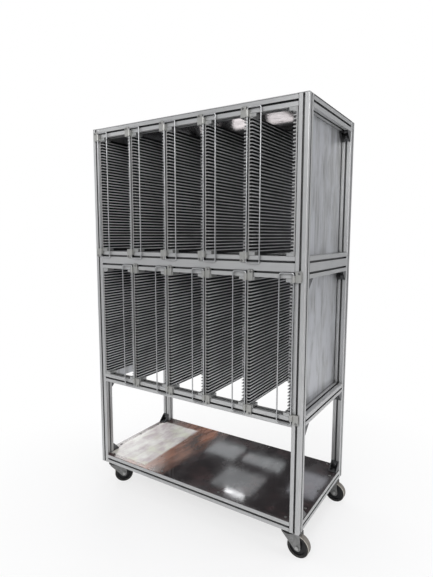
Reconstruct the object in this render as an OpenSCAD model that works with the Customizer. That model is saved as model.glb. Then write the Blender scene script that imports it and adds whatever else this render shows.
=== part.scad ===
// Wheeled magazine rack for printed circuit boards. A frame of T-slot profile carries two tiers
// of bays between ribbed comb plates. Each bay has a wire gate, and the rack has a base shelf,
// side and top panels, and four swivel casters. Millimetres, +Z up, the open front faces -Y.
// Origin: middle of the rack's outer box, on the floor.

/* [Frame] */
// Width over the posts
frame_w = 1050; // [900:10:1300]
// Depth over the posts
frame_d = 520; // [420:10:700]
// Open height between the base rails and the lower rails
base_space = 376; // [250:2:500]
// Open height of one tier, from rail to rail
tier_h = 512; // [360:2:600]
// Thickness of the end caps on the posts
cap_t = 3; // [2:0.5:5]

/* [T-slot profile] */
// Side of the square profile; the mid beams are two of them high
profile = 40; // [39:0.5:45]
// Radius of the profile's outer corners
corner_r = 2.5; // [1:0.5:4]
// Mouth of a T-slot
slot_w = 8.2; // [8.2:0.1:9]
// Thickness of the lips beside the mouth
lip_t = 4.5; // [4:0.1:5]
// Width of the undercut behind the lips
slot_inner = 20; // [18:0.5:21]
// Depth of a T-slot from the face
slot_depth = 12.2; // [11.6:0.1:12.6]
// Bore along the core, tapped at the ends
core_bore = 6.8; // [6.8:0.1:9]
// Bore along each outer corner
corner_bore = 5; // [3:0.2:5.6]

/* [Comb plates] */
// Distance from rib to rib
rib_pitch = 12.7; // [10:0.1:20]
// Thickness of the flat web that carries the ribs
web_t = 5; // [3:0.5:6]
// Length of a rib from the web to its tip
rib_l = 11; // [7:0.5:14]
// Thickness of a rib where it leaves the web
rib_root = 5; // [4:0.1:6]
// Thickness of a rib at its tip
rib_tip = 3.6; // [2.4:0.1:4]
// Air gap between the two webs of a divider
web_gap = 4; // [2:0.5:8]
// Distance of the combs' ends behind the front and back faces
comb_inset = 1; // [0:0.5:4]

/* [Comb clamps] */
// Width of a clamp
clamp_w = 26; // [18:0.5:30]
// Height of a clamp
clamp_h = 12; // [9:0.5:13]

/* [Panels] */
// Thickness of the side panels
side_t = 2; // [1:0.1:3]
// How far a side panel laps over the rails
side_lap = 38; // [10:1:39]
// Thickness of the top panel
top_t = 3; // [2:0.5:4]
// Thickness of the base shelf
shelf_t = 2; // [1.5:0.1:3]
// Clearance of the panels' notches round a post
notch_fit = 1; // [0.2:0.1:1.5]

/* [Wire gates] */
// Wire diameter
wire_d = 5; // [4:0.1:6]
// Distance from the pivot leg to the outer leg
gate_reach = 56; // [40:1:110]
// Distance of the wire's centre in front of the frame
gate_stand = 8; // [7:0.1:10]
// Radius of the bends, on the wire's centre line
bend_r = 7; // [6:0.5:8]
// Height of the upper arm over its slot
arm_rise = 0; // [0:0.5:2]
// Depth of the lower arm under its slot
arm_drop = 8; // [7:0.5:10]
// Radial clearance of the wire in a knuckle
pin_fit = 0.08; // [0.02:0.01:0.1]

/* [Hinge blocks] */
// Thickness of a block's plate
block_t = 6; // [4:0.5:6]
// Reach of a block over the slot, away from its knuckle
block_tip = 6; // [6:0.5:8]
// Reach of a block past the slot, on its knuckle's side
block_tail = 32; // [24:0.5:36]
// Margin of a block's plate past its screw
block_edge = 8; // [7:0.5:10]
// Half width of a knuckle
knuckle_r = 6.5; // [5:0.1:7]
// Distance from the slot's centre to the knuckle
knuckle_gap = 8; // [8:0.5:12]

/* [Corner brackets] */
// Length of a bracket's legs
bracket_leg = 39; // [36:1:50]
// Width of a bracket
bracket_w = 36; // [30:1:38]
// Thickness of a bracket's legs
bracket_t = 4; // [3:0.5:6]
// Thickness of a bracket's two gussets
gusset_t = 3; // [2:0.5:4]

/* [Casters] */
// Wheel diameter
wheel_d = 88; // [76:1:102]
// Tread width
tyre_w = 30; // [24:1:32]
// Thickness of the tyre
tyre_t = 9; // [6:0.5:12]
// Radius of the tread's shoulders
tread_r = 4; // [1:0.5:5.5]
// Length of the wheel's hub
hub_w = 34; // [33:0.2:38]
// Distance from the swivel axis to the wheel's axle
trail = 39; // [34:1:44]
// How far the front left caster is turned
front_left_turn = 45; // [0:5:90]
// Distance from a side of the frame to a swivel axis
caster_in_x = 53; // [48:0.5:60]
// Distance from the front or back to a swivel axis
caster_in_y = 40; // [38:0.5:46]
// Mounting plate, along the rack's width
mount_w = 92; // [86:1:110]
// Mounting plate, along the rack's depth
mount_d = 66; // [60:1:76]
// Thickness of the mounting plate
mount_t = 3; // [2:0.5:4]
// Diameter of the swivel race
race_d = 44; // [30:1:46]
// Height of the swivel race
race_h = 9.7; // [8:0.1:10]
// Diameter of the kingpin
kingpin_d = 10; // [8:0.5:14]
// Radius of the fork's crown
crown_r = 34; // [32:0.5:36]
// Distance from the swivel axis to the crown's rear edge
crown_back = 49; // [44:1:54]
// Gap between the crown and the wheel
crown_gap = 7; // [5:0.5:12]
// Radius of the fork's eyes round the axle
eye_r = 14; // [11:0.5:16]
// Thickness of the fork's sheet
fork_t = 3; // [2:0.5:4]
// Axle diameter
axle_d = 8; // [6:0.5:10]
// Radial clearance of the kingpin and the axle in their bores
axle_fit = 0.05; // [0.02:0.01:0.1]

/* [Fasteners] */
// Screws of the hinge blocks and the clamps
small_screw_d = 5; // [4:0.5:5]
// Screws of the base shelf and the top panel
panel_screw_d = 6; // [5:0.5:6]
// Screws of the corner brackets
bracket_screw_d = 8; // [6:0.5:8]
// Bolts of the casters
caster_bolt_d = 6.5; // [5:0.5:6.5]
// Distance from a post to the first panel screw, along the long rails
end_screw_x = 23; // [14:1:60]
// Distance from a post to the first panel screw, along the side rails
end_screw_y = 74; // [60:1:90]

/* [Hidden] */
$fn = 48;
bays = 5;
seat_gap = 0.05;                  // play of a screw or nut in its hole or slot
face_gap = 0.3;                   // running gap between turning faces
screw_play = 0.4;                 // what a screw's hole is wider than its shank

// Heights
foot_z = wheel_d + crown_gap + fork_t + face_gap + race_h + mount_t;
shelf_z = foot_z + profile;
lower_floor = shelf_z + base_space + profile;
lower_ceiling = lower_floor + tier_h;
upper_floor = lower_ceiling + 2 * profile;
upper_ceiling = upper_floor + tier_h;
frame_top = upper_ceiling + profile;
tier_floors = [lower_floor, upper_floor];

// Slots that the hinge blocks are screwed to, and the tiers they serve
lower_slots = [lower_floor - profile / 2, lower_ceiling + profile / 2];
upper_slots = [upper_floor - profile / 2, upper_ceiling + profile / 2];

// Plan
inner_w = frame_w - 2 * profile;
inner_d = frame_d - 2 * profile;
rail_x = (frame_w - profile) / 2;
rail_y = (frame_d - profile) / 2;
bay_pitch = inner_w / bays;

// The knuckles stand in front of the frame, so the middle of the outer box lies before its own
front_over = gate_stand + knuckle_r;
origin_shift = [0, front_over / 2, 0];

// Comb plates
rib_count = floor((tier_h - 2 * clamp_h - rib_root) / rib_pitch) + 1;
rib_margin = (tier_h - (rib_count - 1) * rib_pitch) / 2;
comb_d = frame_d - 2 * comb_inset;
web_out = web_gap / 2 + web_t;

// Screw heads after ISO 7380 button heads
function head_d(d) = 1.5 * d + 2;
function head_h(d) = 0.55 * d;
hex_h = 4;
function hex_d(d) = (1.5 * d + 1) / cos(30);

// Slot nuts
nut_l = 14;
nut_t = 4.4;
nut_w = slot_inner - 2;
screw_reach = lip_t + nut_t + 1;  // depth of a screw's tip below the profile's face

// A hinge block's screw lies one half profile beside the pivot, so the end ones meet the posts
block_screw_x = profile / 2;
bracket_screw_at = bracket_leg / 2 + 2;
clamp_screw_at = web_out + clamp_w / 2;

// Casters
caster_x = frame_w / 2 - caster_in_x;
caster_y = frame_d / 2 - caster_in_y;
bolt_dx = caster_in_x - profile / 2;
bolt_dy = caster_in_y - profile / 2;
axle_z = wheel_d / 2;
core_d = wheel_d - 2 * tyre_t;
race_z = foot_z - mount_t - race_h;
crown_z = race_z - face_gap - fork_t;
cheek_in = hub_w / 2 + face_gap;
cheek_out = cheek_in + fork_t;
pin_head_t = 3.7;
pin_head_d = kingpin_d + 6;

module at_origin() translate(origin_shift) children();

// Puts its children at x and turns them towards -x if side is negative
module facing(x, side) translate([x, 0, 0]) mirror([side < 0 ? 1 : 0, 0, 0]) children();

// ---------------------------------------------------------------- T-slot profile

module rounded_rect(size, r) {
    difference() {
        square(size, center = true);
        for (x = [-1, 1], y = [-1, 1])
            translate([x * (size.x / 2 - r), y * (size.y / 2 - r)]) scale([x, y]) difference() {
                square(r + 1);
                circle(r);
            }
    }
}

// Outline of a T-slot in a face at y = 0 that looks towards +y
module slot_cut() {
    shoulder = lip_t + 2.3;
    floor_w = slot_inner - 2 * (slot_depth - shoulder);
    polygon([
        [-slot_w / 2, 1], [-slot_w / 2, -lip_t], [-slot_inner / 2, -lip_t],
        [-slot_inner / 2, -shoulder], [-floor_w / 2, -slot_depth],
        [floor_w / 2, -slot_depth], [slot_inner / 2, -shoulder],
        [slot_inner / 2, -lip_t], [slot_w / 2, -lip_t], [slot_w / 2, 1]
    ]);
}

// Section of the profile, `cells` squares high
module profile_section(cells = 1) {
    h = cells * profile;
    corner_at = profile / 2 - corner_bore / 2 - 1.8;
    difference() {
        rounded_rect([profile, h], corner_r);
        for (turn = [0, 180]) rotate(turn) translate([0, h / 2]) slot_cut();
        for (c = [0:cells - 1]) translate([0, (c - (cells - 1) / 2) * profile]) {
            for (turn = [-90, 90]) rotate(turn) translate([0, profile / 2]) slot_cut();
            circle(d = core_bore);
        }
        for (x = [-1, 1], y = [-1, 1])
            translate([x * corner_at, y * (h / 2 - profile / 2 + corner_at)]) circle(d = corner_bore);
        if (cells > 1) square([16, 12], center = true);
    }
}

// Profiles along x and along y, centred, and standing on z = 0
module bar_x(cells = 1)
    rotate([90, 0, 90]) linear_extrude(inner_w, center = true) profile_section(cells);

module bar_y(cells = 1)
    rotate([90, 0, 0]) linear_extrude(inner_d, center = true) profile_section(cells);

// ---------------------------------------------------------------- frame

module posts() {
    at_origin() color("silver")
        for (x = [-1, 1], y = [-1, 1]) translate([x * rail_x, y * rail_y, foot_z])
            linear_extrude(frame_top - foot_z) profile_section();
}

// Front and back rails whose middle is at height z
module long_rails(z, cells = 1) {
    at_origin() color("silver")
        for (y = [-1, 1]) translate([0, y * rail_y, z]) bar_x(cells);
}

// Left and right rails whose middle is at height z
module side_rails(z, cells = 1) {
    at_origin() color("silver")
        for (x = [-1, 1]) translate([x * rail_x, 0, z]) bar_y(cells);
}

module post_end_caps() {
    at_origin() color("gray")
        for (x = [-1, 1], y = [-1, 1]) translate([x * rail_x, y * rail_y, frame_top])
            linear_extrude(cap_t) rounded_rect([profile, profile], corner_r);
}

// ---------------------------------------------------------------- panels

module side_panels() {
    at_origin() color("lightslategray")
        for (side = [-1, 1], z = tier_floors)
            facing(side * inner_w / 2, side) translate([-side_t, -inner_d / 2 + notch_fit, z - side_lap])
                cube([side_t, inner_d - 2 * notch_fit, tier_h + 2 * side_lap]);
}

// Places of the screws that hold a panel down on the frame: four along each long rail, and
// three along each side
panel_screws = concat(
    [for (i = [-1, -1 / 3, 1 / 3, 1], y = [-1, 1]) [i * (inner_w / 2 - end_screw_x), y * rail_y]],
    [for (i = [-1:1], x = [-1, 1]) [x * rail_x, i * (inner_d / 2 - end_screw_y)]]
);

// Sheet that covers the frame's plan, notched round the posts
module deck(t) {
    notch = 2 * (profile + notch_fit);
    linear_extrude(t) difference() {
        square([frame_w, frame_d], center = true);
        for (x = [-1, 1], y = [-1, 1])
            translate([x * frame_w / 2, y * frame_d / 2]) square(notch, center = true);
        for (p = panel_screws) translate(p) circle(d = panel_screw_d + screw_play);
    }
}

module top_panel() {
    at_origin() color("dimgray") translate([0, 0, frame_top]) difference() {
        deck(top_t);
        for (p = panel_screws) translate(p)
            cylinder(d1 = panel_screw_d + screw_play, d2 = 2 * panel_screw_d, h = top_t);
    }
}

module base_shelf() {
    at_origin() color("dimgray") translate([0, 0, shelf_z]) difference() {
        deck(shelf_t);
        for (x = [-1, 1], y = [-1, 1])
            translate([x * rail_x, y * (inner_d / 2 - bracket_screw_at), -1])
                cylinder(d = bracket_screw_d + screw_play, h = shelf_t + 2);
    }
}

// ---------------------------------------------------------------- combs and clamps

// Outline of a comb plate: web from x = 0, ribs towards +x, height along y
comb_outline = concat(
    [[0, 0], [web_t, 0]],
    [for (i = [0:rib_count - 1]) let (y = rib_margin + i * rib_pitch)
        each [[web_t, y - rib_root / 2], [web_t + rib_l, y - rib_tip / 2],
              [web_t + rib_l, y + rib_tip / 2], [web_t, y + rib_root / 2]]],
    [[web_t, tier_h], [0, tier_h]]
);

// Comb plate whose web's back is at x = 0, standing on z = 0
module comb_plate()
    rotate([90, 0, 0]) linear_extrude(comb_d, center = true) polygon(comb_outline);

function divider_x(i) = i * bay_pitch - inner_w / 2;

module divider(i, floor_z) {
    at_origin() color("gray") for (side = [-1, 1])
        facing(divider_x(i), side) translate([web_gap / 2, 0, floor_z]) comb_plate();
}

// The two combs at the ends of a tier, which hold the side panels against the rails
module end_combs(floor_z) {
    at_origin() color("gray") for (side = [-1, 1])
        facing(-side * inner_w / 2, side) translate([side_t, 0, floor_z]) comb_plate();
}

// Runs its children once for each clamp, on a rail at z = 0, with the comb's web at x <= 0
module at_clamps() {
    for (z = tier_floors, top = [0, 1], y = [-1, 1])
        translate([0, y * rail_y, z + top * tier_h]) mirror([0, 0, top]) {
            for (i = [1:bays - 1], side = [-1, 1])
                facing(divider_x(i), side) translate([web_out, 0, 0]) children();
            for (side = [-1, 1])
                facing(-side * inner_w / 2, side) translate([side_t + web_t, 0, 0]) children();
        }
}

module clamp() {
    difference() {
        translate([0, -profile / 2, 0]) cube([clamp_w, profile, clamp_h]);
        translate([clamp_w / 2, 0, -1]) cylinder(d = small_screw_d + screw_play, h = clamp_h + 2);
        translate([clamp_w / 2, 0, clamp_h - small_screw_d])
            cylinder(d = head_d(small_screw_d) + screw_play, h = small_screw_d + 1);
    }
}

module comb_clamps() at_origin() color("darkgray") at_clamps() clamp();

module clamp_screws()
    at_origin() color("dimgray") at_clamps()
        translate([clamp_w / 2, 0, clamp_h - small_screw_d])
            button_screw(small_screw_d, clamp_h - small_screw_d + screw_reach);

// ---------------------------------------------------------------- gates

// A quarter bend of the wire in the plane of the gate, starting at angle a
module bend(x, z, a) {
    translate([x, 0, z]) rotate([90, 0, 0]) rotate(a)
        rotate_extrude(angle = 90) translate([bend_r, 0]) circle(d = wire_d);
}

// A closed loop of wire that turns about its leg at x = 0 and reaches towards +x
module wire_loop(slots) {
    low = slots[0] - arm_drop;
    high = slots[1] + arm_rise;
    far = gate_reach - bend_r;
    for (x = [0, gate_reach]) translate([x, 0, low + bend_r])
        cylinder(d = wire_d, h = high - low - 2 * bend_r);
    for (z = [low, high]) translate([bend_r, 0, z]) rotate([0, 90, 0])
        cylinder(d = wire_d, h = far - bend_r);
    bend(far, high - bend_r, 0);
    bend(bend_r, high - bend_r, 90);
    bend(bend_r, low + bend_r, 180);
    bend(far, low + bend_r, 270);
}

module gate(pivot, side, slots) {
    at_origin() color("lightgray") facing(divider_x(pivot), side)
        translate([0, -frame_d / 2 - gate_stand, 0]) wire_loop(slots);
}

// ---------------------------------------------------------------- hinge blocks

// Runs its children at each hinge, on the frame's face at y = 0, with the pivot at x = 0, the
// slot at z = 0, the gate towards +x and its legs towards -z
module at_hinges() {
    for (i = [0:bays - 1], top = [0, 1]) {
        facing(divider_x(i), 1) translate([0, -frame_d / 2, upper_slots[top]])
            mirror([0, 0, 1 - top]) children();
        facing(divider_x(i + 1), -1) translate([0, -frame_d / 2, lower_slots[top]])
            mirror([0, 0, 1 - top]) children();
    }
}

module hinge_block() {
    plate_w = block_screw_x + block_edge;
    knuckle_h = block_tail - knuckle_gap;
    difference() {
        union() {
            translate([-plate_w, -block_t, -block_tail])
                cube([plate_w - knuckle_r, block_t, block_tail + block_tip]);
            translate([-knuckle_r, -gate_stand, -block_tail])
                cube([2 * knuckle_r, gate_stand, knuckle_h]);
            translate([0, -gate_stand, -block_tail]) cylinder(r = knuckle_r, h = knuckle_h);
        }
        translate([0, -gate_stand, -block_tail - 1])
            cylinder(d = wire_d + 2 * pin_fit, h = block_tail);
        translate([-block_screw_x, 1, 0]) rotate([90, 0, 0])
            cylinder(d = small_screw_d + screw_play, h = block_t + 2);
    }
}

module hinge_blocks() at_origin() color("darkgray") at_hinges() hinge_block();

module hinge_screws()
    at_origin() color("dimgray") at_hinges() translate([-block_screw_x, -block_t, 0])
        rotate([90, 0, 0]) button_screw(small_screw_d, block_t + screw_reach);

// ---------------------------------------------------------------- screws and nuts

// Button-head socket screw: the head sits on z = 0 and the shank points towards -z
module button_screw(d, length) {
    edge = 0.4 * head_h(d);
    translate([0, 0, seat_gap]) difference() {
        union() {
            cylinder(d = head_d(d), h = edge);
            translate([0, 0, edge])
                cylinder(d1 = head_d(d), d2 = 0.6 * head_d(d), h = head_h(d) - edge);
            translate([0, 0, -length]) cylinder(d = d, h = length);
        }
        translate([0, 0, edge]) cylinder(d = 0.66 * d, h = head_h(d), $fn = 6);
    }
}

// Countersunk screw, its head flush with a panel of thickness t that lies on z = 0
module flush_screw(d, t, length) {
    translate([0, 0, seat_gap]) cylinder(d1 = d, d2 = 2 * d - screw_play, h = t - 2 * seat_gap);
    translate([0, 0, -length]) cylinder(d = d, h = length + seat_gap);
}

module shelf_screws() {
    at_origin() color("silver") for (p = panel_screws)
        translate([p.x, p.y, shelf_z + shelf_t]) button_screw(panel_screw_d, shelf_t + screw_reach);
}

module top_screws() {
    at_origin() color("dimgray") for (p = panel_screws)
        translate([p.x, p.y, frame_top]) flush_screw(panel_screw_d, top_t, screw_reach);
}

// Nut in the slot of a face at z = 0 that looks towards +z, with the slot along x
module slot_nut(d) {
    translate([0, 0, -lip_t - seat_gap]) rotate([90, 0, 90]) difference() {
        linear_extrude(nut_l, center = true) polygon([
            [-nut_w / 2, 0], [-nut_w / 2, -1.5], [-nut_w / 2 + nut_t - 1.5, -nut_t],
            [nut_w / 2 - nut_t + 1.5, -nut_t], [nut_w / 2, -1.5], [nut_w / 2, 0]
        ]);
        rotate([90, 0, 0]) cylinder(d = d + 2 * seat_gap, h = 3 * nut_t, center = true);
    }
}

module slot_nuts() {
    at_origin() color("gold") {
        for (z = [shelf_z, frame_top], p = panel_screws) translate([p.x, p.y, z])
            rotate(abs(p.x) < rail_x ? 0 : 90) slot_nut(panel_screw_d);
        at_clamps() translate([clamp_w / 2, 0, 0]) slot_nut(small_screw_d);
        at_hinges() translate([-block_screw_x, 0, 0]) rotate([90, 0, 0]) slot_nut(small_screw_d);
        at_brackets(0) translate([0, bracket_screw_at, 0]) rotate([180, 0, 90])
            slot_nut(bracket_screw_d);
        at_brackets(shelf_t) translate([0, 0, -bracket_screw_at]) rotate([-90, 0, 0]) rotate(90)
            slot_nut(bracket_screw_d);
        at_caster_mounts() for (p = caster_slot_bolts)
            translate([p.x * bolt_dx, p.y * bolt_dy, foot_z]) rotate([180, 0, p.x < 0 ? 0 : 90])
                slot_nut(caster_bolt_d);
    }
}

// ---------------------------------------------------------------- corner brackets

// Runs its children at each bracket's corner, which lies between a rail's underside at z = 0 and
// a post's side at y = 0. The brackets on the base shelf are upside down and raised by its sheet.
module at_brackets(raise) {
    heights = [lower_floor - profile, lower_ceiling];
    for (x = [-1, 1], y = [-1, 1]) translate([x * rail_x, y * inner_d / 2, 0])
        mirror([0, y > 0 ? 1 : 0, 0]) {
            for (z = heights) translate([0, 0, z]) children();
            if (y > 0) translate([0, 0, upper_ceiling]) children();
            translate([0, 0, shelf_z + raise]) mirror([0, 0, 1]) children();
        }
}

module corner_bracket() {
    leg = bracket_leg;
    t = bracket_t;
    hole_d = bracket_screw_d + screw_play;
    difference() {
        rotate([90, 0, 90]) {
            linear_extrude(bracket_w, center = true)
                polygon([[0, 0], [leg, 0], [leg, -t], [t, -t], [t, -leg], [0, -leg]]);
            for (s = [-1, 1]) translate([0, 0, s * (bracket_w - gusset_t) / 2])
                linear_extrude(gusset_t, center = true)
                    polygon([[0, 0], [leg, 0], [leg, -t], [t, -leg], [0, -leg]]);
        }
        translate([0, bracket_screw_at, -t - 1]) cylinder(d = hole_d, h = t + 2);
        translate([0, -1, -bracket_screw_at]) rotate([-90, 0, 0]) cylinder(d = hole_d, h = t + 2);
    }
}

module corner_brackets()
    at_origin() color("#303236") at_brackets(shelf_t) corner_bracket();

module bracket_screws() {
    length = bracket_t + screw_reach;
    at_origin() color("dimgray") at_brackets(shelf_t) {
        translate([0, bracket_screw_at, -bracket_t]) rotate([180, 0, 0])
            button_screw(bracket_screw_d, length);
        translate([0, bracket_t, -bracket_screw_at]) rotate([-90, 0, 0])
            button_screw(bracket_screw_d, length);
    }
}

// ---------------------------------------------------------------- casters

// Mounting plate with the swivel race and the kingpin that the fork turns on
module caster_plate() {
    pin_z = crown_z - face_gap - pin_head_t;
    difference() {
        translate([-mount_w / 2, -mount_d / 2, foot_z - mount_t]) cube([mount_w, mount_d, mount_t]);
        for (x = [-1, 1], y = [-1, 1]) translate([x * bolt_dx, y * bolt_dy, foot_z - mount_t - 1])
            cylinder(d = caster_bolt_d + screw_play, h = mount_t + 2);
    }
    translate([0, 0, race_z]) cylinder(d = race_d, h = race_h);
    translate([0, 0, pin_z]) {
        cylinder(d = pin_head_d, h = pin_head_t);
        cylinder(d = kingpin_d, h = race_z - pin_z);
    }
}

module at_caster_mounts() {
    for (x = [-1, 1], y = [-1, 1]) translate([x * caster_x, y * caster_y, 0])
        mirror([x < 0 ? 1 : 0, 0, 0]) mirror([0, y < 0 ? 1 : 0, 0]) children();
}

module caster_plates() at_origin() color("silver") at_caster_mounts() caster_plate();

// Three of a plate's four holes meet the frame: the slots of two rails, and a post's core
caster_slot_bolts = [[1, -1], [-1, 1]];
caster_core_bolt = [1, 1];

module caster_bolts() {
    at_origin() color("gainsboro") at_caster_mounts()
        for (p = [each caster_slot_bolts, caster_core_bolt])
            translate([p.x * bolt_dx, p.y * bolt_dy, foot_z - mount_t - seat_gap]) {
                translate([0, 0, -hex_h]) cylinder(d = hex_d(caster_bolt_d), h = hex_h, $fn = 6);
                cylinder(d = caster_bolt_d, h = mount_t + screw_reach);
            }
}

// Puts its children, which trail towards +x, at a caster and turns them about its kingpin
module at_caster(x, y, turned)
    at_origin() translate([x * caster_x, y * caster_y, 0]) rotate(turned) children();

// Point where the line from p touches the circle round c of radius r, on either side
function tangent(p, c, r, side) =
    let (d = p - c, a = atan2(d.y, d.x) + side * acos(r / norm(d)))
    c + r * [cos(a), sin(a)];

// Side view of a fork cheek, from the crown down to an eye round the axle
module cheek_2d() {
    eye = [trail, axle_z];
    half = sqrt(crown_r * crown_r - cheek_out * cheek_out) - 1;
    low_front = [-half, crown_z - 4];
    low_back = [crown_back, crown_z - 4];
    polygon([
        [-half, crown_z + fork_t], low_front, tangent(low_front, eye, eye_r, 1), eye,
        tangent(low_back, eye, eye_r, -1), low_back, [crown_back, crown_z + fork_t]
    ]);
    translate(eye) circle(eye_r);
}

module fork(x, y, turned = 0) {
    at_caster(x, y, turned) color("silver") difference() {
        union() {
            translate([0, 0, crown_z]) {
                cylinder(r = crown_r, h = fork_t);
                translate([0, -cheek_out, 0]) cube([crown_back, 2 * cheek_out, fork_t]);
            }
            for (s = [-1, 1]) translate([0, s * (cheek_in + cheek_out) / 2, 0])
                rotate([90, 0, 0]) linear_extrude(fork_t, center = true) cheek_2d();
        }
        translate([0, 0, crown_z - 1]) cylinder(d = kingpin_d + 2 * axle_fit, h = fork_t + 2);
        translate([trail, 0, axle_z]) rotate([90, 0, 0])
            cylinder(d = axle_d + 2 * axle_fit, h = 4 * cheek_out, center = true);
    }
}

// Axle bolt, and the nut on its end
module axle(x, y, turned = 0) {
    seat = cheek_out + seat_gap;
    at_caster(x, y, turned) color("gray") translate([trail, 0, axle_z]) rotate([90, 0, 0]) {
        translate([0, 0, -seat - hex_h - 2]) cylinder(d = axle_d, h = 2 * seat + hex_h + 2);
        translate([0, 0, seat]) cylinder(d = hex_d(axle_d), h = hex_h, $fn = 6);
        translate([0, 0, -seat - hex_h]) difference() {
            cylinder(d = hex_d(axle_d), h = hex_h, $fn = 6);
            translate([0, 0, -1]) cylinder(d = axle_d + 2 * axle_fit, h = hex_h + 2);
        }
    }
}

// Half section of the wheel's core on one side of its middle: [radius, offset]
core_half = [
    [axle_d / 2 + axle_fit, hub_w / 2], [axle_d / 2 + 6, hub_w / 2],
    [axle_d / 2 + 7, 0.3 * tyre_w], [core_d / 2 - 4, 0.3 * tyre_w],
    [core_d / 2 - 3, tyre_w / 2 - 1], [core_d / 2, tyre_w / 2 - 1]
];

module wheel(x, y, turned = 0) {
    last = len(core_half) - 1;
    at_caster(x, y, turned) color("#202020") translate([trail, 0, axle_z]) rotate([90, 0, 0])
        rotate_extrude() polygon(concat(
            core_half,
            [for (i = [last:-1:0]) [core_half[i].x, -core_half[i].y]]
        ));
}

// Tyre shrunk on the core, with a rounded tread
module tyre(x, y, turned = 0) {
    at_caster(x, y, turned) color("gray") translate([trail, 0, axle_z]) rotate([90, 0, 0])
        rotate_extrude() translate([core_d / 2, 0]) intersection() {
            rounded_rect([2 * tyre_t, tyre_w], tread_r);
            translate([0, -tyre_w / 2]) square([tyre_t, tyre_w]);
        }
}

// ---------------------------------------------------------------- nodes

posts();
long_rails(frame_top - profile / 2);  // long_top_rails
long_rails(lower_ceiling + profile, 2);  // long_mid_beams
long_rails(lower_floor - profile / 2);  // long_lower_rails
long_rails(shelf_z - profile / 2);  // long_base_rails
side_rails(frame_top - profile / 2);  // side_top_rails
side_rails(lower_ceiling + profile, 2);  // side_mid_beams
side_rails(lower_floor - profile / 2);  // side_lower_rails
side_rails(shelf_z - profile / 2);  // side_base_rails
post_end_caps();
divider(1, upper_floor);  // upper_divider_1
divider(2, upper_floor);  // upper_divider_2
divider(3, upper_floor);  // upper_divider_3
divider(4, upper_floor);  // upper_divider_4
end_combs(upper_floor);  // upper_end_combs
divider(1, lower_floor);  // lower_divider_1
divider(2, lower_floor);  // lower_divider_2
divider(3, lower_floor);  // lower_divider_3
divider(4, lower_floor);  // lower_divider_4
end_combs(lower_floor);  // lower_end_combs
comb_clamps();
side_panels();
top_panel();
base_shelf();
corner_brackets();
hinge_blocks();
clamp_screws();
hinge_screws();
bracket_screws();
shelf_screws();
top_screws();
slot_nuts();
gate(0, 1, upper_slots);  // upper_gate_1
gate(1, 1, upper_slots);  // upper_gate_2
gate(2, 1, upper_slots);  // upper_gate_3
gate(3, 1, upper_slots);  // upper_gate_4
gate(4, 1, upper_slots);  // upper_gate_5
gate(1, -1, lower_slots);  // lower_gate_1
gate(2, -1, lower_slots);  // lower_gate_2
gate(3, -1, lower_slots);  // lower_gate_3
gate(4, -1, lower_slots);  // lower_gate_4
gate(5, -1, lower_slots);  // lower_gate_5
caster_plates();
caster_bolts();
fork(-1, -1, front_left_turn);  // front_left_fork
fork(1, -1);  // front_right_fork
fork(-1, 1, 180);  // back_left_fork
fork(1, 1);  // back_right_fork
axle(-1, -1, front_left_turn);  // front_left_axle
axle(1, -1);  // front_right_axle
axle(-1, 1, 180);  // back_left_axle
axle(1, 1);  // back_right_axle
wheel(-1, -1, front_left_turn);  // front_left_wheel
wheel(1, -1);  // front_right_wheel
wheel(-1, 1, 180);  // back_left_wheel
wheel(1, 1);  // back_right_wheel
tyre(-1, -1, front_left_turn);  // front_left_tyre
tyre(1, -1);  // front_right_tyre
tyre(-1, 1, 180);  // back_left_tyre
tyre(1, 1);  // back_right_tyre
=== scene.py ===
"""Looks for the wheeled circuit-board rack: procedural finishes, floor, studio light and camera.

Metres, in the part's own frame: +Z up, the open front faces -Y, origin on the floor.
"""

import math

import bpy
from mathutils import Matrix, Vector

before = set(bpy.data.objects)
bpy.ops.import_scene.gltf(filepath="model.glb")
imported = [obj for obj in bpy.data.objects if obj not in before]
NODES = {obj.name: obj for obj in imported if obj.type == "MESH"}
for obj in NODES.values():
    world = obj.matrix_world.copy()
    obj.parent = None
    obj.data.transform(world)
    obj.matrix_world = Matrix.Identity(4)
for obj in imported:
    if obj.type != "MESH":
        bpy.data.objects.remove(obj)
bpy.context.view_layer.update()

BAY_PITCH = 0.194         # from one divider to the next
RIB_TIP = 0.018           # from a divider's middle to its ribs' tips
FRONT_LEFT_TURN = 45.0    # degrees that the front left caster is turned at rest

# The painted reflection patch on the base shelf: its middle, and half its length and depth
PATCH_AT = (-0.382, -0.012)
PATCH_HALF = (0.122, 0.222)

FLOOR_SIZE = 30.0
FLOOR_FADE = (0.55, 1.5)     # the floor turns white from here to here, seen from the camera
CEILING = 2.6                # height of the lit panels

CAMERA_AT = (1.1109, -1.7312, 1.2330)
CAMERA_PAN, CAMERA_DOWN, CAMERA_ROLL = 32.886, 6.776, 0.112     # degrees
CAMERA_LENS, CAMERA_SENSOR = 27.90, 36.0                        # millimetres


# ---------------------------------------------------------------- node building

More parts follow.
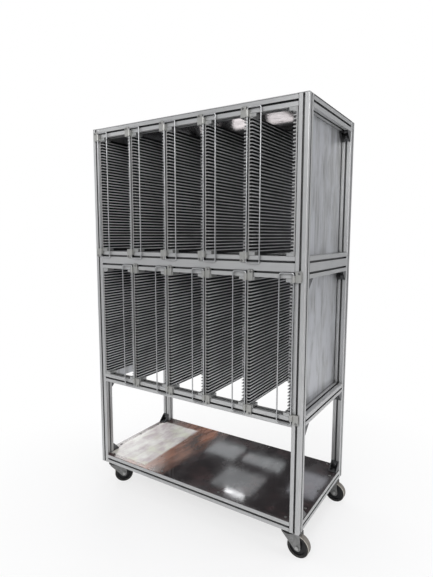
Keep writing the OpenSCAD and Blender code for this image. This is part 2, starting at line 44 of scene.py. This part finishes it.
class Nodes:
    """A node tree, and short ways to add nodes to it."""

    def __init__(self, tree):
        self.tree = tree

    def set(self, node, values):
        for name, value in values.items():
            socket = node.inputs[name]
            if isinstance(value, bpy.types.NodeSocket):
                self.tree.links.new(value, socket)
            elif isinstance(value, (tuple, list)) and socket.type == "RGBA" and len(value) == 3:
                socket.default_value = (*value, 1)
            else:
                socket.default_value = value

    def add(self, kind, values=None, **props):
        node = self.tree.nodes.new("ShaderNode" + kind)
        for name, value in props.items():
            setattr(node, name, value)
        self.set(node, values or {})
        return node

    def math(self, operation, a, b=0.0, clamp=False):
        node = self.add("Math", operation=operation, use_clamp=clamp)
        self.set(node, {0: a, 1: b})
        return node.outputs[0]

    def ramp(self, value, low, high, out_low=0.0, out_high=1.0):
        """value from low to high becomes out_low to out_high, clamped."""
        node = self.add("MapRange", {"Value": value, "From Min": low, "From Max": high,
                                     "To Min": out_low, "To Max": out_high}, clamp=True)
        return node.outputs["Result"]


class Shader(Nodes):
    """A material with a principled shader, and short ways to add the nodes in front of it."""

    def __init__(self, name, color, roughness, metallic=0.0):
        self.material = bpy.data.materials.new(name)
        self.material.use_nodes = True
        super().__init__(self.material.node_tree)
        self.bsdf = self.tree.nodes["Principled BSDF"]
        self.set(self.bsdf, {"Base Color": color, "Roughness": roughness, "Metallic": metallic})

    def point(self):
        """Object coordinates: metres in the part's frame, and they move with the piece."""
        return self.add("TexCoord").outputs["Object"]

    def noise(self, scale, detail=3.0, stretch=(1, 1, 1), rough=0.5):
        """Noise from 0 to 1 with this many lumps a metre, each stretched along the axes given."""
        mapping = self.add("Mapping", {"Vector": self.point(),
                                       "Scale": tuple(scale / s for s in stretch)})
        return self.add("TexNoise", {"Vector": mapping.outputs[0], "Scale": 1.0,
                                     "Detail": detail, "Roughness": rough}).outputs["Fac"]

    def mix(self, factor, a, b):
        """The colour a where the factor is 0, and b where it is 1."""
        node = self.add("Mix", {"Factor": factor, 6: a, 7: b}, data_type="RGBA")
        return node.outputs[2]

    def open_air(self, reach, low=0.35, high=0.85):
        """1 on open faces, falling to 0 in slots and corners narrower than the reach; it masks painted
        shade.
        """
        node = self.add("AmbientOcclusion", {"Distance": reach}, samples=8)
        return self.ramp(node.outputs["AO"], low, high)

    def bump(self, height, distance, strength=1.0, normal=None):
        values = {"Height": height, "Distance": distance, "Strength": strength}
        if normal is not None:
            values["Normal"] = normal
        return self.add("Bump", values).outputs[0]

    def out(self, **values):
        """Sets or links the principled shader's inputs, and gives the finished material."""
        self.set(self.bsdf, {name.replace("_", " "): value for name, value in values.items()})
        return self.material

    def glow(self, color, strength):
        """An emission shader's output."""
        return self.add("Emission", {"Color": color, "Strength": strength}).outputs[0]

    def surface(self, shader):
        """Puts this shader on the surface in place of the principled one."""
        self.tree.links.new(shader, self.tree.nodes["Material Output"].inputs["Surface"])
        return self.material


def shade(color, factor):
    return tuple(c * factor for c in color)


# ---------------------------------------------------------------- materials

def extruded(name, axis, painted_slot_shade=0.04):
    """Natural anodised aluminium with die lines along the profile and a few rub marks.

    painted_slot_shade is how much of the tone is left inside the slots, where the darkening is painted
    shade.
    """
    color = (0.55, 0.553, 0.55)
    s = Shader(name, color, 0.4, 0.8)
    along = [1.0, 1.0, 1.0]
    along[axis] = 260.0
    lines = s.noise(1400.0, 2.0, along)
    rubs = s.ramp(s.noise(55.0, 6.0, [1.0 if i != axis else 7.0 for i in range(3)]), 0.56, 0.68)
    grain = s.noise(2600.0, 1.0)
    tone = s.mix(s.ramp(lines, 0.3, 0.7), shade(color, 0.93), shade(color, 1.04))
    tone = s.mix(s.math("MULTIPLY", rubs, 0.3), tone, shade(color, 0.8))
    tone = s.mix(s.ramp(s.noise(7.0, 4.0), 0.4, 0.75, 0.0, 0.5), tone, shade(color, 0.86))
    # painted shade: the tone darkens in slots and corners narrower than 16 mm
    tone = s.mix(s.open_air(0.016), shade(color, painted_slot_shade), tone)
    height = s.math("ADD", lines, s.math("MULTIPLY", grain, 0.5))
    return s.out(Base_Color=tone,
                 Roughness=s.math("ADD", s.ramp(lines, 0.3, 0.7, 0.36, 0.46),
                                  s.math("MULTIPLY", rubs, 0.08)),
                 Normal=s.bump(height, 0.00002, 0.6))


def combs():
    """Anodised combs painted near black between the ribs as shade, with lighter rib tips of uneven
    tone, and bright saw-cut ends.
    """
    tip, deep, cut = (0.8, 0.8, 0.81), (0.01, 0.01, 0.011), (0.4, 0.4, 0.395)
    s = Shader("comb", deep, 0.45, 0.4)
    position = s.add("SeparateXYZ", {"Vector": s.point()})
    # x in bays, moved by whole bays to where it is positive; a divider lies at each half
    bays = s.math("ADD", s.math("DIVIDE", position.outputs["X"], BAY_PITCH), 100.0)
    off_divider = s.math("SUBTRACT", s.math("FRACT", bays), 0.5)
    from_divider = s.math("MULTIPLY", s.math("ABSOLUTE", off_divider), BAY_PITCH)
    at_tip = s.ramp(from_divider, RIB_TIP - 0.0038, RIB_TIP - 0.0016)
    normal = s.add("SeparateXYZ", {"Vector": s.add("TexCoord").outputs["Normal"]})
    at_cut = s.ramp(s.math("ABSOLUTE", normal.outputs["Y"]), 0.8, 0.95)
    lines = s.noise(1100.0, 2.0, [1, 240, 1])
    tip_patchiness = s.ramp(s.noise(18.0, 5.0, [1, 3, 1]), 0.3, 0.7, 0.7, 1.1)
    # painted shade: near black in the grooves, lighter only on the rib tips
    tone = s.mix(s.math("MULTIPLY", at_tip, tip_patchiness, True), deep, tip)
    saw = s.noise(1500.0, 2.0, [1, 1, 30])
    cut_tone = s.mix(saw, shade(cut, 0.8), shade(cut, 1.1))
    tone = s.mix(at_cut, tone, cut_tone)
    return s.out(Base_Color=tone, Metallic=s.ramp(at_cut, 0, 1, 0.25, 0.7),
                 Roughness=s.ramp(lines, 0.3, 0.7, 0.4, 0.52),
                 Normal=s.bump(s.math("ADD", lines, saw), 0.00002, 0.5))


def brushed_panel():
    """Steel sheet brushed upright, with cloudy marks that carry a painted bluish sheen, and a few fine
    scratches.
    """
    color = (0.56, 0.565, 0.57)
    s = Shader("side_panel", color, 0.36, 0.8)
    grain = s.noise(1600.0, 2.0, [1, 1, 90])
    streaks = s.noise(110.0, 4.0, [1, 1, 14], 0.6)
    cloud_marks_and_sheen = s.noise(17.0, 7.0, [1, 1, 3.0], 0.65)
    scratch = s.ramp(s.noise(70.0, 2.0, [1, 1, 26]), 0.68, 0.74)
    tone = s.mix(s.ramp(grain, 0.25, 0.75), shade(color, 0.88), shade(color, 1.1))
    tone = s.mix(s.ramp(streaks, 0.38, 0.6, 0.0, 0.7), tone, shade(color, 0.55))
    # painted sheen: the pale bluish clouds stand in for a soft reflection, on top of real cloudy marks
    tone = s.mix(s.ramp(cloud_marks_and_sheen, 0.42, 0.58, 0.0, 0.75), tone, (0.62, 0.63, 0.66))
    tone = s.mix(s.math("MULTIPLY", scratch, 0.4), tone, shade(color, 1.5))
    return s.out(Base_Color=tone,
                 Roughness=s.math("ADD", s.ramp(grain, 0.2, 0.8, 0.3, 0.4),
                                  s.ramp(cloud_marks_and_sheen, 0.35, 0.7, 0.0, 0.12)),
                 Normal=s.bump(streaks, 0.0003, 0.5, s.bump(grain, 0.00003, 0.5)))


def gloss_deck(name, color, roughness):
    """Smooth dark sheet with dust, wipe marks and scuffs that break its reflection."""
    s = Shader(name, color, roughness, 0.3)
    wipes = s.noise(24.0, 5.0, [4, 1, 1])
    dust = s.noise(900.0, 2.0)
    scuffs = s.ramp(s.noise(38.0, 7.0, [1.6, 1, 1], 0.65), 0.55, 0.75)
    tone = s.mix(s.ramp(dust, 0.6, 0.8, 0.0, 0.3), color, (0.2, 0.19, 0.19))
    tone = s.mix(s.math("MULTIPLY", scuffs, 0.12), tone, (0.28, 0.27, 0.27))
    facing = s.add("SeparateXYZ", {"Vector": s.add("TexCoord").outputs["Normal"]})
    tone = s.mix(s.ramp(s.math("ABSOLUTE", facing.outputs["Y"]), 0.8, 0.95), tone, (0.5, 0.5, 0.5))
    waves = s.noise(5.0, 2.0)
    normal = s.bump(waves, 0.0006, 0.35)
    return s.out(Base_Color=tone,
                 Roughness=s.math("ADD", s.ramp(wipes, 0.3, 0.7, roughness, roughness + 0.1),
                                  s.math("MULTIPLY", scuffs, 0.2)),
                 Specular_IOR_Level=0.7,
                 Normal=s.bump(dust, 0.00001, 0.3, normal))


def shelf_with_painted_reflections():
    """Dark glossy sheet with painted reflections: a brown strip at its left, a pale patch inside that,
    and dim blotches elsewhere.
    """
    s = Shader("shelf_sheet", (0.016, 0.012, 0.013), 0.1, 0.0)
    place = s.add("SeparateXYZ", {"Vector": s.point()})
    x, y = place.outputs["X"], place.outputs["Y"]
    ragged = s.ramp(s.noise(22.0, 4.0), 0.25, 0.75, -0.005, 0.005)
    ragged_x = s.math("ADD", x, ragged)
    slanted_x = s.math("ADD", ragged_x, s.ramp(y, -0.26, 0.2, 0.03, -0.02))
    # painted reflection: the brown strip at the left of the shelf, with a slanted, ragged edge
    strip_reflection_mask = s.ramp(slanted_x, -0.19, -0.1, 1.0, 0.0)
    # painted reflection: the pale patch inside the strip
    off_x = s.math("ABSOLUTE", s.math("SUBTRACT", ragged_x, PATCH_AT[0]))
    off_y = s.math("ABSOLUTE", s.math("SUBTRACT", y, PATCH_AT[1]))
    inside_x = s.math("SUBTRACT", PATCH_HALF[0], off_x)
    inside_y = s.math("SUBTRACT", PATCH_HALF[1], off_y)
    patch_reflection_mask = s.ramp(s.math("MINIMUM", inside_x, s.math("ADD", inside_y, ragged)), -0.004, 0.008)
    wipes = s.noise(13.0, 6.0, [1, 3, 1], 0.6)
    dust = s.noise(900.0, 2.0)
    # painted reflection colours: brown wipes for the strip, pale blotches for the patch
    strip_reflection_colour = s.mix(s.ramp(wipes, 0.35, 0.65), (0.05, 0.018, 0.012), (0.4, 0.15, 0.075))
    strip_reflection_colour = s.mix(s.ramp(x, -0.45, -0.27), (0.05, 0.024, 0.022), strip_reflection_colour)
    pale = s.mix(s.ramp(s.noise(16.0, 6.0, [1, 2.2, 1], 0.62), 0.38, 0.64),
                 (0.99, 0.98, 0.93), (0.58, 0.5, 0.51))
    pale = s.mix(s.ramp(s.noise(9.0, 4.0), 0.45, 0.62, 0.0, 0.5), pale, (0.86, 0.9, 0.68))
    # painted reflection: dark grey and purple-brown blotches stand in for dim reflections of the room
    dark = s.mix(s.ramp(s.noise(8.0, 6.0, [1, 1.6, 1], 0.6), 0.42, 0.62), (0.022, 0.017, 0.018),
                 (0.068, 0.062, 0.063))
    dark = s.mix(s.ramp(s.noise(11.0, 5.0, [1.5, 1, 1], 0.6), 0.5, 0.68, 0.0, 0.7), dark,
                 (0.075, 0.046, 0.046))
    dark = s.mix(s.ramp(dust, 0.6, 0.8, 0.0, 0.2), dark, (0.14, 0.13, 0.13))
    tone = s.mix(patch_reflection_mask, s.mix(strip_reflection_mask, dark, strip_reflection_colour), pale)
    gloss = s.mix(patch_reflection_mask, s.mix(strip_reflection_mask, (0.04, 0.04, 0.04), (0.25, 0.25, 0.25)), (0.42, 0.42, 0.42))
    waves = s.bump(s.noise(5.0, 2.0), 0.0006, 0.35)
    return s.out(Base_Color=tone, Specular_IOR_Level=0.75,
                 Roughness=s.math("ADD", gloss, s.ramp(wipes, 0.3, 0.7, 0.0, 0.05)),
                 Normal=s.bump(dust, 0.00001, 0.3, waves))


def cast(name, color, roughness, metallic, grain, depth):
    """Die-cast or coated metal with a fine pebbled skin: grain lumps a metre, depth in metres."""
    s = Shader(name, color, roughness, metallic)
    skin = s.noise(grain, 3.0)
    tone = s.mix(s.ramp(skin, 0.3, 0.75), shade(color, 0.85), shade(color, 1.15))
    tone = s.mix(s.ramp(s.noise(60.0, 4.0), 0.5, 0.75, 0.0, 0.5), tone, shade(color, 0.75))
    return s.out(Base_Color=tone, Roughness=s.ramp(skin, 0.2, 0.8, roughness - 0.06, roughness + 0.08),
                 Normal=s.bump(skin, depth, 0.7))


def shaded_bracket():
    """Near-black finish that stands in for the shade on the brackets: greyer on the open faces, and
    painted deep black as shade in the corners.
    """
    open_tone, corner_shade = (0.11, 0.112, 0.115), (0.012, 0.012, 0.013)
    s = Shader("bracket_painted_shade", open_tone, 0.4, 0.2)
    skin = s.noise(1500.0, 3.0)
    rubbed = s.ramp(s.noise(120.0, 5.0), 0.35, 0.65, 0.6, 1.0)
    # painted shade: darker in the corners, by ambient occlusion
    tone = s.mix(s.math("MULTIPLY", s.open_air(0.03, 0.45, 0.8), rubbed), corner_shade, open_tone)
    return s.out(Base_Color=tone, Roughness=s.ramp(skin, 0.2, 0.8, 0.32, 0.48),
                 Normal=s.bump(skin, 0.00006, 0.7))


def plated(name, color, roughness, spangle=90.0, darkest=0.86):
    """Zinc plate: pale crystals of slightly different tone."""
    s = Shader(name, color, roughness, 0.9)
    cells = s.add("TexVoronoi", {"Vector": s.point(), "Scale": spangle}).outputs["Color"]
    value = s.add("SeparateColor", {"Color": cells}).outputs[0]
    tone = s.mix(value, shade(color, darkest), shade(color, 1.1))
    tone = s.mix(s.ramp(s.noise(40.0, 5.0), 0.55, 0.75, 0.0, 0.6), tone, shade(color, 0.6))
    return s.out(Base_Color=tone, Roughness=s.ramp(value, 0, 1, roughness - 0.05, roughness + 0.08),
                 Normal=s.bump(s.noise(1800.0, 2.0), 0.00001, 0.5))


def wire():
    """Bright drawn wire with faint drawing lines."""
    color = (0.5, 0.505, 0.51)
    s = Shader("gate_wire", color, 0.3, 1.0)
    lines = s.noise(2200.0, 2.0, [1, 1, 200])
    worn = s.ramp(s.noise(25.0, 4.0), 0.5, 0.72)
    return s.out(Base_Color=s.mix(worn, color, shade(color, 0.78)),
                 Roughness=s.math("ADD", s.ramp(lines, 0.2, 0.8, 0.28, 0.36),
                                  s.math("MULTIPLY", worn, 0.1)),
                 Normal=s.bump(lines, 0.000003, 0.2))


def rubber(name, turned=0.0):
    """Tyre rubber: black sides, pale shoulders, and a darker tread with scuffs.

    The axle is along Y, turned by this many degrees about Z.
    """
    side, shoulder, tread = (0.014, 0.0135, 0.013), (0.5, 0.475, 0.42), (0.2, 0.185, 0.165)
    s = Shader(name, shoulder, 0.75)
    grain = s.noise(900.0, 3.0)
    scuff = s.ramp(s.noise(90.0, 6.0), 0.48, 0.66)
    angle = math.radians(turned)
    facing = s.add("VectorMath", {0: s.add("TexCoord").outputs["Normal"],
                                  1: (-math.sin(angle), math.cos(angle), 0)},
                   operation="DOT_PRODUCT").outputs["Value"]
    facing = s.math("ABSOLUTE", facing)
    rolled = s.mix(s.ramp(facing, 0.03, 0.25), tread, shoulder)
    rolled = s.mix(s.math("MULTIPLY", scuff, 0.6), rolled, shade(tread, 0.7))
    return s.out(Base_Color=s.mix(s.ramp(facing, 0.6, 0.85), rolled, side),
                 Roughness=s.ramp(grain, 0.2, 0.8, 0.65, 0.85),
                 Normal=s.bump(grain, 0.00008, 0.7))


def plastic(name, color, roughness):
    """Moulded plastic with a fine grain and faint handling marks."""
    s = Shader(name, color, roughness)
    grain = s.noise(1300.0, 2.0)
    marks = s.ramp(s.noise(50.0, 5.0), 0.35, 0.7)
    return s.out(Base_Color=s.mix(marks, color, shade(color, 0.8)),
                 Roughness=s.ramp(grain, 0.2, 0.8, roughness - 0.05, roughness + 0.1),
                 Normal=s.bump(grain, 0.00004, 0.6))


ALONG_X = extruded("profile_along_x", 0)
ALONG_Y = extruded("profile_along_y", 1)
ALONG_Z = extruded("profile_along_z", 2, painted_slot_shade=0.22)
COMB = combs()
PANEL = brushed_panel()
SHELF = shelf_with_painted_reflections()
TOP = gloss_deck("top_sheet", (0.035, 0.033, 0.034), 0.12)
BRACKET = shaded_bracket()
HINGE = cast("hinge_casting", (0.42, 0.42, 0.4), 0.42, 0.75, 1200.0, 0.00003)
CLAMP = cast("clamp_metal", (0.45, 0.455, 0.45), 0.4, 0.75, 2200.0, 0.00002)
CAP = plastic("end_cap_plastic", (0.3, 0.3, 0.3), 0.5)
SCREW = plated("zinc_screw", (0.5, 0.5, 0.49), 0.32, 400.0)
DARK_ZINC = plated("dull_zinc_screw", (0.2, 0.2, 0.195), 0.4, 400.0)
BLACK = cast("black_oxide", (0.14, 0.14, 0.145), 0.34, 0.9, 2500.0, 0.00001)
ZINC = plated("caster_zinc", (0.29, 0.29, 0.285), 0.45, 130.0, darkest=0.7)
CORE = plastic("wheel_core_plastic", (0.006, 0.006, 0.007), 0.5)
TYRE = rubber("tyre_rubber")
TURNED_TYRE = rubber("turned_tyre_rubber", FRONT_LEFT_TURN)
WIRE = wire()

FINISH = {
    "posts": ALONG_Z, "post_end_caps": CAP, "side_panels": PANEL, "base_shelf": SHELF,
    "top_panel": TOP, "corner_brackets": BRACKET, "hinge_blocks": HINGE, "comb_clamps": CLAMP,
    "clamp_screws": BLACK, "hinge_screws": DARK_ZINC, "bracket_screws": BLACK,
    "shelf_screws": DARK_ZINC, "top_screws": SCREW, "slot_nuts": SCREW,
    "caster_plates": ZINC, "caster_bolts": SCREW, "front_left_tyre": TURNED_TYRE,
}
FINISH_BY_END = (
    ("_gate", WIRE), ("_fork", ZINC), ("_axle", SCREW), ("_wheel", CORE), ("_tyre", TYRE),
    ("_divider", COMB), ("_combs", COMB),
)


def finish_of(name):
    """A node's material, found by its name, or by how the name starts or ends."""
    if name in FINISH:
        return FINISH[name]
    if name.startswith("long_"):
        return ALONG_X
    if name.startswith("side_"):
        return ALONG_Y
    stem = name.rstrip("0123456789").rstrip("_")
    for end, material in FINISH_BY_END:
        if stem.endswith(end):
            return material
    raise ValueError("no finish for " + name)


for name, node in NODES.items():
    node.data.materials.clear()
    node.data.materials.append(finish_of(name))


# ---------------------------------------------------------------- floor, light and camera

def plane(name, size, location):
    w, h = size[0] / 2, size[1] / 2
    mesh = bpy.data.meshes.new(name)
    mesh.from_pydata([(-w, -h, 0), (w, -h, 0), (w, h, 0), (-w, h, 0)], [], [(0, 1, 2, 3)])
    item = bpy.data.objects.new(name, mesh)
    item.location = location
    bpy.context.scene.collection.objects.link(item)
    return item


def aim(item, target):
    item.rotation_euler = (Vector(target) - item.location).to_track_quat("-Z", "Y").to_euler()


def area(name, location, target, size, power):
    """A white softbox of this size in metres and power in watts."""
    light = bpy.data.lights.new(name, "AREA")
    light.shape = "RECTANGLE"
    light.size, light.size_y = size
    light.energy = power
    item = bpy.data.objects.new(name, light)
    item.location = location
    bpy.context.scene.collection.objects.link(item)
    aim(item, target)


# The floor is white paper that keeps the shadow, and fades to pure white away from the rack.
floor = plane("studio_floor", (FLOOR_SIZE, FLOOR_SIZE), (0, 0, 0))
paper = Shader("floor_paper", (0.9, 0.9, 0.9), 0.8)
paper.out(Normal=paper.bump(paper.noise(60.0, 3.0), 0.0002, 0.2))
away = paper.add("VectorMath", {0: paper.point()}, operation="LENGTH").outputs["Value"]
to_camera = paper.add("LightPath").outputs["Is Camera Ray"]
fade = paper.math("MULTIPLY", to_camera, paper.ramp(away, *FLOOR_FADE, 0.7, 1.0))
blend = paper.add("MixShader", {0: fade, 1: paper.bsdf.outputs[0], 2: paper.glow((1, 1, 1), 1.0)})
floor.data.materials.append(paper.surface(blend.outputs[0]))

# The room is grey, and darker towards its far left corner. The camera sees white.
world = bpy.data.worlds.new("studio")
bpy.context.scene.world = world
world.use_nodes = True
world.node_tree.nodes.clear()
room = Nodes(world.node_tree)
ray = room.add("SeparateXYZ", {"Vector": room.add("TexCoord").outputs["Generated"]})
to_corner = room.math("SUBTRACT", ray.outputs["Y"], ray.outputs["X"])
level = room.ramp(to_corner, 0.55, 1.05, 0.42, 0.1)
grey = room.add("Background", {"Color": (1.0, 1.01, 1.05, 1), "Strength": level})
white = room.add("Background", {"Color": (1, 1, 1, 1)})
to_camera = room.add("LightPath").outputs["Is Camera Ray"]
blend = room.add("MixShader", {0: to_camera, 1: grey.outputs[0], 2: white.outputs[0]})
room.add("OutputWorld", {"Surface": blend.outputs[0]})

area("key", (1.2, -3.2, 3.0), (0, 0, 0.9), (2.4, 2.4), 80)
area("left_fill", (-3.2, -1.6, 2.2), (0, 0, 0.8), (2.0, 2.6), 17)
area("right_fill", (3.4, 0.6, 1.7), (0.3, 0, 0.8), (1.6, 2.4), 34)
area("shelf_fill", (-1.7, 0.9, 1.05), (-0.38, 0, 0.15), (0.7, 0.7), 7)
area("overhead", (0, 0.4, 4.2), (0, 0, 0), (3.0, 2.4), 50)


def card(name, size, location, target, color, strength):
    """A bright board that only reflections see."""
    board = plane(name, size, location)
    aim(board, target)
    board.rotation_euler.rotate_axis("X", math.pi)     # its +Z side faces the target
    s = Shader(name, color, 0.5)
    board.data.materials.append(s.surface(s.glow(color, strength)))
    for kind in ("camera", "diffuse", "transmission", "volume_scatter", "shadow"):
        setattr(board, "visible_" + kind, False)


def ceiling_panel(name, x, y, color, strength):
    """A lit panel overhead, from the first to the second x and y."""
    middle = ((x[0] + x[1]) / 2, (y[0] + y[1]) / 2, CEILING)
    below = (middle[0], middle[1] + 0.001, 0)
    card(name, (x[1] - x[0], y[1] - y[0]), middle, below, color, strength)


ceiling_panel("panel_far_left", (-4.2, -3.3), (3.1, 4.6), (1, 0.98, 0.96), 3.0)
ceiling_panel("panel_left", (-2.9, -2.3), (4.05, 4.5), (0.93, 0.97, 1), 1.9)
ceiling_panel("panel_right", (-2.2, -1.55), (4.1, 4.4), (0.93, 0.97, 1), 1.9)
ceiling_panel("panel_near", (-2.25, -1.6), (3.3, 3.85), (0.93, 0.97, 1), 1.5)
ceiling_panel("lamp", (-1.97, -1.67), (3.22, 3.5), (0.97, 0.98, 1), 14.0)
ceiling_panel("panel_side", (-1.25, -0.85), (3.7, 4.35), (0.9, 0.92, 1), 1.8)
card("low_glare", (2.6, 1.6), (-2.3, 5.4, 0.35), (0.4, 0, 1.6), (1, 0.93, 0.94), 3.2)

camera_data = bpy.data.cameras.new("photo_camera")
camera_data.lens = CAMERA_LENS
camera_data.sensor_width = CAMERA_SENSOR
camera = bpy.data.objects.new("photo_camera", camera_data)
turn = (Matrix.Rotation(math.radians(CAMERA_PAN), 4, "Z")
        @ Matrix.Rotation(math.radians(90 - CAMERA_DOWN), 4, "X")
        @ Matrix.Rotation(math.radians(CAMERA_ROLL), 4, "Z"))
camera.matrix_world = Matrix.Translation(CAMERA_AT) @ turn
bpy.context.scene.collection.objects.link(camera)
bpy.context.scene.camera = camera
bpy.context.scene.view_settings.view_transform = "Standard"
